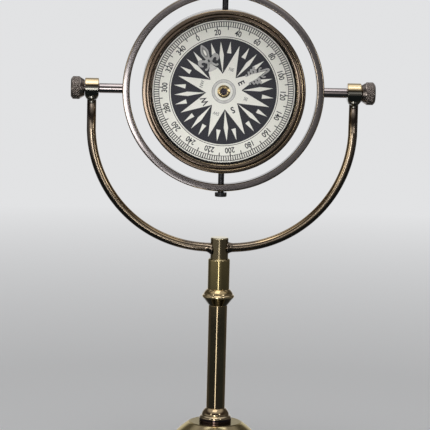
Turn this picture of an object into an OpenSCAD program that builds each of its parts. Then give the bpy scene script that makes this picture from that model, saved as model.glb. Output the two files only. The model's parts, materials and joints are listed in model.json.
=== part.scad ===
// Desk compass: a magnetic compass hung in a ring, and the ring in a yoke on a turned pedestal.
// Millimetres, +Z up, front towards -Y, origin on the desk under the middle of the base.

/* [Base] */
// Diameter over the rounded rim
base_d = 115; // [110:1:125]
// Height of the flat top above the desk
base_h = 33; // [32:0.5:36]
// Diameter of the flat top
base_top_d = 32.4; // [30:0.2:34]
// Height of the rounded rim
rim_h = 5; // [4:0.5:6]
// Thickness of the felt under the rim
felt_t = 1.5; // [1:0.5:2]

/* [Column] */
// Diameter of the foot collar
collar_d = 20; // [18:0.5:22]
// Height of the foot collar
collar_h = 8.7; // [8.5:0.1:9]
// Diameter of the long tube
tube_d = 11.7; // [11:0.1:12]
// Length of the long tube
tube_l = 64.9; // [50:0.1:80]
// Widest diameter of the bead
knop_d = 20; // [19:0.5:21]
// Height of the bead
knop_h = 10.2; // [10:0.1:11]
// Diameter of the sleeve above the bead
sleeve_d = 13.6; // [13:0.1:14]
// Length of the sleeve
sleeve_l = 19.2; // [18:0.1:22]
// Diameter of the threaded rod inside
rod_d = 5; // [4:0.5:5]

/* [Yoke] */
// Diameter of the post that carries the arms
post_d = 11.1; // [10.8:0.1:11.5]
// Height of the post above the sleeve
post_h = 13; // [12.5:0.1:14]
// Diameter of the bent arms
arm_d = 5.7; // [5.6:0.1:5.8]
// Bend radius of the arms' middle line
arm_bend_r = 74.4; // [73:0.1:76]
// Straight length of an arm before its bend, from the post's middle
arm_straight = 6.2; // [6:0.1:7]
// Height of the tilt axis above the middle of the arms' bends
axis_over_bend = 22.9; // [22:0.1:26]
// Diameter of the eyes
eye_d = 12.4; // [12:0.1:12.8]
// Length of the eyes along the tilt axis
eye_l = 8.5; // [8:0.1:9]

/* [Gimbal ring] */
// Outer diameter of the ring
ring_d = 124; // [123:0.5:125]
// Radial thickness of the ring
ring_t = 4.5; // [4:0.1:5]
// Depth of the ring from front to back
ring_w = 8; // [7.5:0.5:9]
// Diameter of the tilt spindles' thick length
spindle_d = 6; // [5.6:0.1:6.4]
// Diameter of the spindles inside the eyes
spindle_neck_d = 5; // [4.5:0.1:5.2]
// Diameter of the screws that the case swings on
pivot_d = 3.7; // [3.4:0.1:4]
// Diameter of those screws' heads
pivot_head_d = 7.4; // [7:0.1:8]

/* [Knobs] */
// Diameter over the knurling
knob_d = 14.1; // [13.5:0.1:14.6]
// Length of a knob
knob_l = 8.4; // [8:0.1:9]
// Number of grooves in the knurling
knurl_count = 40; // [30:1:48]

/* [Case] */
// Outer diameter of the bowl
case_d = 100; // [99:0.5:101]
// Depth of the bowl from rim to back
case_depth = 24; // [23:0.5:26]
// Diameter of the bowl's bore round the card
case_bore_d = 90; // [89.5:0.5:90.5]
// Outer diameter of the ring that holds the glass
bezel_d = 95.5; // [95:0.1:96]
// Thickness of the glass
glass_t = 1.6; // [1.2:0.1:1.8]

/* [Card] */
// Diameter of the printed card
card_d = 87.2; // [86:0.1:88]
// Thickness of the card
card_t = 0.5; // [0.4:0.1:0.6]
// Angle of the card's north, anticlockwise from the top as seen from the front
north_angle = 27.3; // [-180:0.1:180]
// Length of the magnets
magnet_l = 56; // [40:1:60]

/* [Hidden] */
$fn = 96;

// Clearances: a turning shaft in its hole, a fixed rod in its hole, and two parts that pass
run_gap = 0.05;
fit_gap = 0.05;
side_gap = 0.2;
// How far a cut runs past the face that it opens
over = 1;

// Heights up the stand
arm_up = 6.7;
collar_z = base_h;
tube_z = collar_z + collar_h;
knop_z = tube_z + tube_l;
sleeve_z = knop_z + knop_h;
post_z = sleeve_z + sleeve_l;
arm_z = post_z + arm_up;
bend_z = arm_z + arm_bend_r;
axis_z = bend_z + axis_over_bend;

// Base: a dome that steepens from the flat top, then a hollow flare out to the rim
dome_r = 45;
dome_top_angle = 33;
dome_foot_angle = 58;
cavity_step = 5;
dome_x = base_top_d / 2 - dome_r * sin(dome_top_angle);
dome_z = base_h - dome_r * cos(dome_top_angle);
dome_foot_r = dome_x + dome_r * sin(dome_foot_angle);
dome_foot_z = dome_z + dome_r * cos(dome_foot_angle);
rim_top_z = felt_t + rim_h;
flare_r = (dome_foot_z - rim_top_z) / (1 - cos(dome_foot_angle));
flare_foot_r = dome_foot_r + flare_r * sin(dome_foot_angle);
base_wall = 4;
boss_r = 9;
boss_z = 15;
washer_d = 12;
washer_t = 1;
nut_flats = 8;
nut_t = 4;
rod_tail = 2;
felt_inset = 2;
rod_hole_d = rod_d + 2 * fit_gap;

// Column
collar_lip_r = 1.9;
collar_lip_h = 4.3;
collar_neck_d = 17;
collar_dome_r = 7;
collar_dome_x = 1.8;
collar_dome_up = 3;
tube_bore_d = 8.6;
spigot_h = 4;
knop_bead_r = 1.25;
knop_bead_up = 5.7;
knop_cone_angle = 37;
knop_shoulder_d = 18;
knop_dome_r = 9;
knop_dome_x = 1.05;
knop_dome_up = 3.35;
sleeve_bevel = 1.2;
post_bevel = 0.4;
post_bore_depth = 12;
tap_depth = 15;
rod_short = 1;

// Yoke arms and eyes
arm_x = arm_straight + arm_bend_r;
arm_gap = 0.3;
eye_in_x = arm_x - eye_l / 2;
eye_out_x = arm_x + eye_l / 2;
eye_neck_d = 6.5;
eye_neck_drop = 9;
eye_fillet_r = 11.4;
eye_fillet_drop = 8;
eye_bevel = 0.5;
arm_socket = 4;
braze_d = 8.4;
braze_reach = 2;

// Gimbal ring and its spindles
ring_round = 1.2;
thread_in_ring = 4.2;
knob_in_x = eye_out_x + side_gap;
knob_taper = 2.2;
knob_face_d = 10.4;
knob_bevel = 0.8;
knob_end = 2;
knurl_depth = 0.45;
spindle_tip_x = knob_in_x + knob_l - knob_end;

// Pivot screws: the upper head rests on the ring, so the lower one stands off from it
head_h = 2.5;
head_gap_top = 0.3;
head_gap_bottom = 1;
screw_in_case = 4.2;
slot_w = 0.9;
slot_depth = 1;
head_round = 0.4;

// Case, measured forward from the tilt axis
rim_f = case_depth / 2;
case_floor = 2.8;
rim_round = 1;
back_round = 3;
back_ring_d = 78;
back_ring_w = 1.2;
back_ring_depth = 0.5;
bezel_sunk = 0.6;
bezel_h = 1.8;
bezel_bevel = 0.4;
bezel_lip_rise = 0.3;
bezel_front_f = rim_f - bezel_sunk;
glass_f = bezel_front_f - bezel_h - glass_t;
gasket_t = 0.5;
gasket_gap = 0.2;
ledge_f = glass_f - gasket_t;
seat_d = 93.4;
glass_d = 93;
bezel_lip_r = 0.9;

// Card, needle and magnets, measured forward from the tilt axis
card_sunk = 0.8;
card_f = ledge_f - card_sunk - card_t;
cap_d = 8;
cap_h = 0.8;
cap_dimple_d = 3;
cap_bevel = 0.3;
hub_d = 9;
hub_h = 5;
hub_bore_d = 3.2;
jewel_d = 3;
jewel_t = 1;
jewel_cup_r = 0.5;
needle_d = 1.2;
needle_tip = 1.6;
needle_point_d = 0.1;
needle_l = 7.4;
needle_set = 2;
needle_tip_f = card_f - jewel_t + jewel_cup_r - run_gap;
pivot_post_d = 5;
pivot_foot_d = 4;
pivot_foot_l = 1.5;
magnet_w = 5;
magnet_t = 2.5;
magnet_offset = 12;

// A closed outline with round corners, w along X and h along Y from its lower left corner
module rounded(w, h, r) {
    translate([r, 0]) square([w - 2 * r, h]);
    translate([0, r]) square([w, h - 2 * r]);
    for (x = [r, w - r], y = [r, h - r]) translate([x, y]) circle(r = r);
}

// A round bar from z = 0 to z = h whose top edge has a bevel
module bevelled_bar(d, h, bevel) {
    cylinder(d = d, h = h - bevel);
    translate([0, 0, h - bevel]) cylinder(d1 = d, d2 = d - 2 * bevel, h = bevel);
}

// Cuts a hole along Z right through a piece that lies from z = 0 to z = h
module bore(d, h) {
    translate([0, 0, -over]) cylinder(d = d, h = h + 2 * over);
}

// Turns +Z towards the front and lifts it to the tilt axis
module facing_front() {
    translate([0, 0, axis_z]) rotate([90, 0, 0]) children();
}

// Turns +Z outwards along the tilt axis, to the right for side 1 and to the left for side -1
module facing_side(side) {
    translate([0, 0, axis_z]) rotate([0, side * 90, 0]) children();
}

// Base

module base_outline() {
    intersection() {
        translate([dome_x, dome_z]) circle(r = dome_r, $fn = 180);
        translate([0, felt_t]) square([dome_foot_r, base_h - felt_t]);
    }
    difference() {
        translate([0, felt_t]) square([flare_foot_r, dome_foot_z - felt_t]);
        translate([flare_foot_r, rim_top_z + flare_r]) circle(r = flare_r, $fn = 180);
    }
    translate([0, felt_t]) square([base_d / 2 - rim_h / 2, rim_h]);
    translate([base_d / 2 - rim_h / 2, felt_t + rim_h / 2]) circle(d = rim_h);
}

// Points on the inside of the flare and of the dome, where the slope is a degrees
function flare_inside(a) = [
    flare_foot_r - (flare_r + base_wall) * sin(a),
    rim_top_z + flare_r - (flare_r + base_wall) * cos(a)
];
function dome_inside(a) = [
    dome_x + (dome_r - base_wall) * sin(a),
    dome_z + (dome_r - base_wall) * cos(a)
];

module base_cavity_outline() {
    polygon(concat(
        [[0, 0], [flare_foot_r, 0]],
        [for (a = [0 : cavity_step : dome_foot_angle]) flare_inside(a)],
        [for (a = [dome_foot_angle : -cavity_step : dome_top_angle]) dome_inside(a)],
        [[boss_r, base_h - base_wall], [boss_r, boss_z], [0, boss_z]]
    ));
}

module base() {
    color("darkgoldenrod") difference() {
        rotate_extrude() base_outline();
        rotate_extrude() base_cavity_outline();
        bore(rod_hole_d, base_h);
    }
}

module base_felt() {
    color("darkgreen") cylinder(d = base_d - 2 * felt_inset, h = felt_t);
}

module base_washer() {
    color("silver") translate([0, 0, boss_z - washer_t]) difference() {
        cylinder(d = washer_d, h = washer_t);
        bore(rod_hole_d, washer_t);
    }
}

module base_nut() {
    color("silver") translate([0, 0, boss_z - washer_t - nut_t]) difference() {
        cylinder(d = nut_flats / cos(30), h = nut_t, $fn = 6);
        bore(rod_hole_d, nut_t);
    }
}

module tie_rod() {
    rod_z = boss_z - washer_t - nut_t - rod_tail;
    rod_top = post_z - post_bore_depth + tap_depth - rod_short;
    color("silver") translate([0, 0, rod_z]) cylinder(d = rod_d, h = rod_top - rod_z);
}

// Column

module foot_collar() {
    color("saddlebrown") translate([0, 0, collar_z]) difference() {
        union() {
            rotate_extrude() {
                square([collar_d / 2 - collar_lip_r, collar_lip_h]);
                square([collar_d / 2, collar_lip_h - collar_lip_r]);
                translate([collar_d / 2 - collar_lip_r, collar_lip_h - collar_lip_r])
                    circle(r = collar_lip_r);
                intersection() {
                    translate([collar_dome_x, collar_dome_up]) circle(r = collar_dome_r);
                    square([collar_neck_d / 2, collar_h]);
                }
            }
            cylinder(d = tube_bore_d - 2 * fit_gap, h = collar_h + spigot_h);
        }
        bore(rod_hole_d, collar_h + spigot_h);
    }
}

module column_tube() {
    color("darkolivegreen") translate([0, 0, tube_z]) difference() {
        cylinder(d = tube_d, h = tube_l);
        bore(tube_bore_d, tube_l);
    }
}

module knop_outline() {
    bead_x = knop_d / 2 - knop_bead_r;
    // Cone below the bead
    polygon([
        [0, 0],
        [tube_d / 2, 0],
        [bead_x + knop_bead_r * cos(knop_cone_angle), knop_bead_up - knop_bead_r * sin(knop_cone_angle)],
        [bead_x, knop_bead_up + knop_bead_r],
        [0, knop_bead_up + knop_bead_r],
    ]);
    translate([bead_x, knop_bead_up]) circle(r = knop_bead_r);
    // Rounded shoulder above the bead
    intersection() {
        translate([knop_dome_x, knop_dome_up]) circle(r = knop_dome_r);
        translate([0, knop_bead_up]) square([knop_shoulder_d / 2, knop_h - knop_bead_up]);
    }
}

module column_knop() {
    color("peru") translate([0, 0, knop_z]) difference() {
        union() {
            rotate_extrude() knop_outline();
            translate([0, 0, -spigot_h])
                cylinder(d = tube_bore_d - 2 * fit_gap, h = knop_h + spigot_h);
        }
        translate([0, 0, -spigot_h]) bore(rod_hole_d, knop_h + spigot_h);
    }
}

module upper_sleeve() {
    color("darkolivegreen") translate([0, 0, sleeve_z]) difference() {
        rotate_extrude() {
            square([sleeve_d / 2, sleeve_l - sleeve_bevel]);
            square([sleeve_d / 2 - sleeve_bevel, sleeve_l]);
            translate([sleeve_d / 2 - sleeve_bevel, sleeve_l - sleeve_bevel])
                circle(r = sleeve_bevel);
        }
        bore(rod_hole_d, sleeve_l);
        translate([0, 0, sleeve_l - post_bore_depth])
            cylinder(d = post_d + 2 * fit_gap, h = post_bore_depth + over);
    }
}

// Yoke

module yoke_post() {
    color("darkkhaki") difference() {
        translate([0, 0, post_z - post_bore_depth])
            bevelled_bar(post_d, post_bore_depth + post_h, post_bevel);
        translate([0, 0, post_z - post_bore_depth - over])
            cylinder(d = rod_hole_d, h = tap_depth + over);
        translate([-post_d, 0, arm_z]) rotate([0, 90, 0])
            cylinder(d = arm_d + 2 * fit_gap, h = 2 * post_d);
    }
}

// One arm: straight out of the post, a quarter circle, then straight up into its eye
module arm(side) {
    leg_h = axis_over_bend - eye_neck_drop + arm_socket;
    color("dimgray") mirror([side < 0 ? 1 : 0, 0, 0]) {
        translate([arm_gap, 0, arm_z]) rotate([0, 90, 0])
            cylinder(d = arm_d, h = arm_straight - arm_gap);
        translate([arm_straight, 0, bend_z]) rotate([90, 0, 0]) rotate([0, 0, -90])
            rotate_extrude(angle = 90, $fn = 180) translate([arm_bend_r, 0]) circle(d = arm_d);
        translate([arm_x, 0, bend_z]) cylinder(d = arm_d, h = leg_h);
        // Brazing fillet against the post
        difference() {
            translate([post_d / 2 - over, 0, arm_z]) rotate([0, 90, 0])
                cylinder(d1 = braze_d, d2 = arm_d, h = braze_reach + over);
            translate([0, 0, arm_z - braze_d]) cylinder(d = post_d, h = 2 * braze_d);
        }
    }
}

module yoke_arm_left() {
    arm(-1);
}

module yoke_arm_right() {
    arm(1);
}

// Front view of an eye: upright sides that draw in below in a hollow curve, down to the neck
module eye_front_outline() {
    difference() {
        translate([-eye_l / 2, -eye_neck_drop]) square([eye_l, eye_neck_drop + eye_d / 2 + over]);
        for (s = [-1, 1])
            translate([s * (eye_neck_d / 2 + eye_fillet_r), -eye_fillet_drop])
                circle(r = eye_fillet_r, $fn = 180);
    }
}

module eye_barrel_outline() {
    translate([0, eye_bevel]) square([eye_d / 2, eye_l - 2 * eye_bevel]);
    square([eye_d / 2 - eye_bevel, eye_l]);
    for (z = [eye_bevel, eye_l - eye_bevel])
        translate([eye_d / 2 - eye_bevel, z]) circle(r = eye_bevel);
}

module eye(side) {
    color("gold") difference() {
        intersection() {
            union() {
                facing_side(side) translate([0, 0, eye_in_x])
                    rotate_extrude() eye_barrel_outline();
                translate([side * arm_x, 0, axis_z]) rotate_extrude() intersection() {
                    eye_front_outline();
                    translate([0, -eye_neck_drop]) square([eye_l, eye_neck_drop]);
                }
            }
            translate([side * arm_x, 0, axis_z]) rotate([90, 0, 0])
                linear_extrude(2 * eye_d, center = true) eye_front_outline();
        }
        facing_side(side) translate([0, 0, eye_in_x]) bore(spindle_neck_d + 2 * run_gap, eye_l);
        translate([side * arm_x, 0, axis_z - eye_neck_drop - over])
            cylinder(d = arm_d + 2 * fit_gap, h = arm_socket + over);
    }
}

module yoke_eye_left() {
    eye(-1);
}

module yoke_eye_right() {
    eye(1);
}

// Gimbal ring

module gimbal_ring() {
    color("dimgray") difference() {
        facing_front() rotate_extrude($fn = 180)
            translate([ring_d / 2 - ring_t, -ring_w / 2]) rounded(ring_t, ring_w, ring_round);
        translate([-ring_d, 0, axis_z]) rotate([0, 90, 0])
            cylinder(d = spindle_neck_d, h = 2 * ring_d);
        translate([0, 0, axis_z - ring_d]) cylinder(d = pivot_d + 2 * run_gap, h = 2 * ring_d);
    }
}

module spindle(side) {
    inner_x = ring_d / 2 - thread_in_ring;
    shoulder_x = eye_in_x - side_gap;
    color("black") facing_side(side) {
        translate([0, 0, inner_x])
            cylinder(d = spindle_neck_d - 2 * fit_gap, h = ring_d / 2 - inner_x + over);
        translate([0, 0, ring_d / 2]) cylinder(d = spindle_d, h = shoulder_x - ring_d / 2);
        translate([0, 0, shoulder_x - over])
            cylinder(d = spindle_neck_d, h = eye_l + 2 * side_gap + over);
        translate([0, 0, eye_out_x]) bevelled_bar(spindle_neck_d - 2 * fit_gap,
            spindle_tip_x - eye_out_x, post_bevel);
    }
}

module tilt_spindle_left() {
    spindle(-1);
}

module tilt_spindle_right() {
    spindle(1);
}

// Knobs

module knurl_outline() {
    step = 360 / knurl_count;
    polygon([
        for (i = [0 : knurl_count - 1], s = [0 : 3])
            let (a = (i + s / 4) * step, r = knob_d / 2 - (s < 2 ? 0 : knurl_depth))
                [r * cos(a), r * sin(a)]
    ]);
}

module knob(side) {
    grip_z = knob_in_x + knob_taper;
    grip_l = knob_l - knob_taper - knob_bevel;
    root_d = knob_d - 2 * knurl_depth;
    color("sienna") facing_side(side) difference() {
        union() {
            translate([0, 0, knob_in_x])
                cylinder(d1 = knob_face_d, d2 = root_d, h = knob_taper);
            translate([0, 0, grip_z]) linear_extrude(grip_l) knurl_outline();
            translate([0, 0, grip_z + grip_l])
                cylinder(d1 = root_d, d2 = root_d - 2 * knob_bevel, h = knob_bevel);
        }
        translate([0, 0, knob_in_x - over])
            cylinder(d = spindle_neck_d, h = spindle_tip_x - knob_in_x + over + side_gap);
    }
}

module knob_left() {
    knob(-1);
}

module knob_right() {
    knob(1);
}

// Compass case

module case_outline() {
    r = case_d / 2;
    wall_l = case_depth - rim_round - back_round;
    translate([0, -rim_f + back_round]) square([r, wall_l]);
    translate([0, -rim_f]) square([r - back_round, case_depth]);
    translate([0, rim_f - rim_round - over]) square([r - rim_round, rim_round + over]);
    translate([r - rim_round, rim_f - rim_round]) circle(r = rim_round);
    translate([r - back_round, -rim_f + back_round]) circle(r = back_round);
}

module case() {
    color("darkolivegreen") difference() {
        facing_front() rotate_extrude($fn = 180) case_outline();
        facing_front() {
            translate([0, 0, -rim_f + case_floor])
                cylinder(d = case_bore_d, h = case_depth, $fn = 180);
            translate([0, 0, ledge_f]) cylinder(d = seat_d, h = case_depth, $fn = 180);
            translate([0, 0, glass_f + glass_t]) cylinder(d = bezel_d, h = case_depth, $fn = 180);
            translate([0, 0, -rim_f - over]) difference() {
                cylinder(d = back_ring_d, h = back_ring_depth + over, $fn = 180);
                bore(back_ring_d - 2 * back_ring_w, back_ring_depth + over, $fn = 180);
            }
            translate([0, 0, -rim_f + case_floor - pivot_foot_l])
                cylinder(d = pivot_foot_d + 2 * fit_gap, h = 2 * pivot_foot_l);
        }
        translate([0, 0, axis_z - case_d]) cylinder(d = pivot_d + 2 * fit_gap, h = 2 * case_d);
    }
}

// Ring that holds the glass: a round inner lip, a flat face and a bevelled outer edge
module bezel_ring() {
    inner_r = case_bore_d / 2;
    outer_r = bezel_d / 2 - fit_gap;
    color("saddlebrown") facing_front() translate([0, 0, glass_f + glass_t]) rotate_extrude($fn = 180) {
        translate([inner_r + bezel_lip_r, bezel_h - bezel_lip_r]) circle(r = bezel_lip_r);
        translate([inner_r, 0]) square([outer_r - inner_r, bezel_h - bezel_lip_r]);
        translate([inner_r + bezel_lip_r, 0])
            square([outer_r - inner_r - bezel_lip_r - bezel_bevel, bezel_h - bezel_lip_rise]);
    }
}

module glass() {
    color("lightblue", 0.3) facing_front() translate([0, 0, glass_f])
        cylinder(d = glass_d, h = glass_t, $fn = 180);
}

module glass_gasket() {
    color("black") facing_front() translate([0, 0, ledge_f]) difference() {
        cylinder(d = glass_d, h = gasket_t, $fn = 180);
        bore(case_bore_d + 2 * gasket_gap, gasket_t, $fn = 180);
    }
}

// A slotted cheese-head screw whose tip is at z = 0
module pivot_screw(shank_l) {
    difference() {
        union() {
            cylinder(d = pivot_d, h = shank_l);
            translate([0, 0, shank_l]) rotate_extrude() {
                square([pivot_head_d / 2, head_h - head_round]);
                square([pivot_head_d / 2 - head_round, head_h]);
                translate([pivot_head_d / 2 - head_round, head_h - head_round])
                    circle(r = head_round);
            }
        }
        translate([-pivot_head_d, -slot_w / 2, shank_l + head_h - slot_depth])
            cube([2 * pivot_head_d, slot_w, slot_depth + over]);
    }
}

module pivot_screw_top() {
    tip = case_d / 2 - screw_in_case;
    color("black") translate([0, 0, axis_z + tip])
        pivot_screw(ring_d / 2 + head_gap_top - tip);
}

module pivot_screw_bottom() {
    tip = case_d / 2 - screw_in_case;
    color("black") translate([0, 0, axis_z - tip]) mirror([0, 0, 1])
        pivot_screw(ring_d / 2 + head_gap_bottom - tip);
}

// Post on the bowl's floor that holds the needle
module pivot_post() {
    floor_f = -rim_f + case_floor;
    post_top_f = needle_tip_f - needle_l + needle_set;
    color("goldenrod") facing_front() difference() {
        union() {
            translate([0, 0, floor_f - pivot_foot_l])
                cylinder(d = pivot_foot_d, h = pivot_foot_l + over);
            translate([0, 0, floor_f])
                bevelled_bar(pivot_post_d, post_top_f - floor_f, post_bevel);
        }
        translate([0, 0, needle_tip_f - needle_l])
            cylinder(d = needle_d + 2 * fit_gap, h = needle_set + over);
    }
}

module pivot_needle() {
    color("silver") facing_front() translate([0, 0, needle_tip_f - needle_l]) {
        cylinder(d = needle_d, h = needle_l - needle_tip);
        translate([0, 0, needle_l - needle_tip]) cylinder(d1 = needle_d, d2 = needle_point_d, h = needle_tip);
    }
}

// Card, turned so that its north lies at north_angle

module facing_card() {
    facing_front() rotate([0, 0, north_angle]) children();
}

module card_disc() {
    color("ivory") facing_card() translate([0, 0, card_f])
        cylinder(d = card_d, h = card_t, $fn = 180);
}

module card_cap() {
    color("gold") facing_card() translate([0, 0, card_f + card_t]) difference() {
        bevelled_bar(cap_d, cap_h, cap_bevel);
        translate([0, 0, cap_h / 2]) cylinder(d = cap_dimple_d, h = cap_h);
    }
}

module card_hub() {
    color("goldenrod") facing_card() translate([0, 0, card_f - hub_h]) difference() {
        cylinder(d = hub_d, h = hub_h);
        translate([0, 0, -over]) cylinder(d = hub_bore_d, h = hub_h + over);
    }
}

module jewel_cup() {
    color("crimson") facing_card() translate([0, 0, card_f - jewel_t]) difference() {
        cylinder(d = jewel_d, h = jewel_t);
        sphere(r = jewel_cup_r);
    }
}

module magnets() {
    color("dimgray") facing_card() for (x = [-magnet_offset, magnet_offset])
        translate([x - magnet_w / 2, -magnet_l / 2, card_f - magnet_t])
            cube([magnet_w, magnet_l, magnet_t]);
}

base();
base_felt();
foot_collar();
column_tube();
column_knop();
upper_sleeve();
yoke_post();
tie_rod();
base_washer();
base_nut();
yoke_arm_left();
yoke_arm_right();
yoke_eye_left();
yoke_eye_right();
gimbal_ring();
tilt_spindle_left();
tilt_spindle_right();
knob_left();
knob_right();
case();
bezel_ring();
glass();
glass_gasket();
pivot_screw_top();
pivot_screw_bottom();
pivot_post();
pivot_needle();
card_disc();
card_cap();
card_hub();
jewel_cup();
magnets();
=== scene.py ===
"""Desk compass: a printed rose card in a round case, hung in a ring and a yoke on a turned pedestal.

Metres, +Z up, front towards -Y. Outlines and sizes are in millimetres, and are scaled as they are placed.
"""
import json
import math

import bmesh
import bpy
from mathutils import Matrix, Vector


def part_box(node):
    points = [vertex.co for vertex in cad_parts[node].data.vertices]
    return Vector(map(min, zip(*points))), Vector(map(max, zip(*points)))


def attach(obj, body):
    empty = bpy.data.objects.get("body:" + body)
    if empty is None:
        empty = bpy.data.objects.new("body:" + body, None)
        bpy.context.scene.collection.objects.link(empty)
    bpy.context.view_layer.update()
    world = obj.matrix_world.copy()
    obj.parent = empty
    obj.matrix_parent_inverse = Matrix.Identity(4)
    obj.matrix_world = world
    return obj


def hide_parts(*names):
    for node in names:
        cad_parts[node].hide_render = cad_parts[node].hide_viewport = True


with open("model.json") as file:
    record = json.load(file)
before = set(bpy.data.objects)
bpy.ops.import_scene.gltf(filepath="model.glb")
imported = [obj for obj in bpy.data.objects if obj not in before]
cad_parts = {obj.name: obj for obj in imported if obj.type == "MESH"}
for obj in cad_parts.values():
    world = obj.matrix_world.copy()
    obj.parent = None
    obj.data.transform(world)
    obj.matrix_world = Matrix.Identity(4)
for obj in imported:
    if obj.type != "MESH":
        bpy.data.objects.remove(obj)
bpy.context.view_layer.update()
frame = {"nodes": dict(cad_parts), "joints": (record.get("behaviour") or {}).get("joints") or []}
scene = bpy.context.scene

MM = 0.001
SIDES = ((-1, "left"), (1, "right"))


# Places and sizes taken from the frame, in millimetres

def box(node):
    """Lowest and highest corner of a CAD node, in millimetres."""
    low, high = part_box(node)
    return Vector(low) / MM, Vector(high) / MM


def heights(node):
    """How high above the desk a node begins and ends."""
    low, high = box(node)
    return low.z, high.z


def fronts(node):
    """How far back and how far forward of the tilt axis a node reaches."""
    low, high = box(node)
    return -high.y, -low.y


def half_width(node):
    """Half of a node's reach from left to right, which is the radius of a turned one."""
    low, high = box(node)
    return (high.x - low.x) / 2


AXIS_Z = next(j["pos_m"][2] for j in frame["joints"] if j["name"] == "ring_tilt") / MM
CLEARANCE = 0.05
ROD_HOLE_R = half_width("tie_rod") + CLEARANCE


def upright(height=0.0):
    """Places a piece on the stand's middle line, its zero at that height."""
    return Matrix.Scale(MM, 4) @ Matrix.Translation((0, 0, height))


def facing_front():
    """Turns +Z towards the front and lifts it to the tilt axis."""
    return upright(AXIS_Z) @ Matrix.Rotation(math.radians(90), 4, "X")


def facing_side(side):
    """Turns +Z outwards along the tilt axis, to the right for side 1 and to the left for side -1."""
    return upright(AXIS_Z) @ Matrix.Rotation(math.radians(90 * side), 4, "Y")


# Turned shapes

ARC_STEP = math.radians(9)  # between the points of a rounded corner
SUPPORT = 0.35  # from the end of a long straight to its first extra point
WEAR_RADIUS = 0.7  # an edge that is rounded by less than this is worn bright
SHORTEST = 0.05  # points that are closer than this count as this far apart where a bend is measured
NEAR_ZERO = 1e-6


def arc(centre_r, centre_h, radius, start, end, steps=10):
    """Outline corners along a round stretch, its angles in degrees from straight outwards."""
    angles = [math.radians(start + (end - start) * i / steps) for i in range(steps + 1)]
    return [(centre_r + radius * math.cos(a), centre_h + radius * math.sin(a), 0) for a in angles]


def crown(inner, outer, face, radius, share):
    """A domed face's outline from its outer side to its inner one, and how much lower its edges are."""
    lean = math.degrees(math.asin((outer - inner) / 2 / radius))
    drop = radius * (1 - math.cos(math.radians(lean)))
    return arc((inner + outer) / 2, face - radius, radius, 90 - share * lean, 90 + share * lean, 12), drop


def filleted(corners):
    """Points of a closed outline of (radius, height, fillet) corners, each corner rounded by its fillet."""
    points = []
    for i, (r, h, fillet) in enumerate(corners):
        here = Vector((r, h))
        if not fillet:
            points.append(here)
            continue
        before = (Vector(corners[i - 1][:2]) - here).normalized()
        after = (Vector(corners[(i + 1) % len(corners)][:2]) - here).normalized()
        half = before.angle(after) / 2
        centre = here + (before + after).normalized() * (fillet / math.sin(half))
        reach = fillet / math.tan(half)
        first = here + before * reach - centre
        last = here + after * reach - centre
        turn = math.atan2(first.x * last.y - first.y * last.x, first.dot(last))
        steps = max(2, math.ceil(abs(turn) / ARC_STEP))
        for k in range(steps + 1):
            points.append(centre + Matrix.Rotation(turn * k / steps, 2) @ first)
    return points


def with_supports(points, spacing):
    """The same outline with points near the ends of long straights, and none further apart than spacing."""
    fuller = []
    for here, after in zip(points, points[1:] + points[:1]):
        fuller.append(here)
        length = (after - here).length
        if length > 3 * SUPPORT:
            middle = max(1, math.ceil((length - 2 * SUPPORT) / spacing))
            stops = [SUPPORT + (length - 2 * SUPPORT) * k / middle for k in range(middle + 1)]
            fuller += [here.lerp(after, stop / length) for stop in stops]
    return fuller


def wear_along(points):
    """How bare an outline's points are rubbed, from 0 on flats and in hollows to 1 on a sharp edge."""
    area = sum(a.x * b.y - a.y * b.x for a, b in zip(points, points[1:] + points[:1]))
    wears = []
    for i, here in enumerate(points):
        before = here - points[i - 1]
        after = points[(i + 1) % len(points)] - here
        turn = math.atan2(before.x * after.y - before.y * after.x, before.dot(after))
        bend = turn * math.copysign(1, area) / max((before.length + after.length) / 2, SHORTEST)
        wears.append(min(1.0, max(0.0, bend * WEAR_RADIUS)))
    return wears


def surface_mesh(name, vertices, faces, uvs, wears, place):
    """A smooth closed mesh in metres, facing outwards, with UVs in millimetres and a wear attribute."""
    mesh = bpy.data.meshes.new(name)
    mesh.from_pydata(vertices, [], faces)
    layer = mesh.uv_layers.new(name="surface_mm")
    layer.data.foreach_set("uv", [value for uv in uvs for value in uv])
    wear = mesh.attributes.new("wear", "FLOAT", "POINT")
    wear.data.foreach_set("value", wears)
    mesh.transform(place)
    shell = bmesh.new()
    shell.from_mesh(mesh)
    if shell.calc_volume(signed=True) < 0:
        bmesh.ops.reverse_faces(shell, faces=shell.faces)
    shell.to_mesh(mesh)
    shell.free()
    mesh.shade_smooth()
    return mesh


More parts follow.
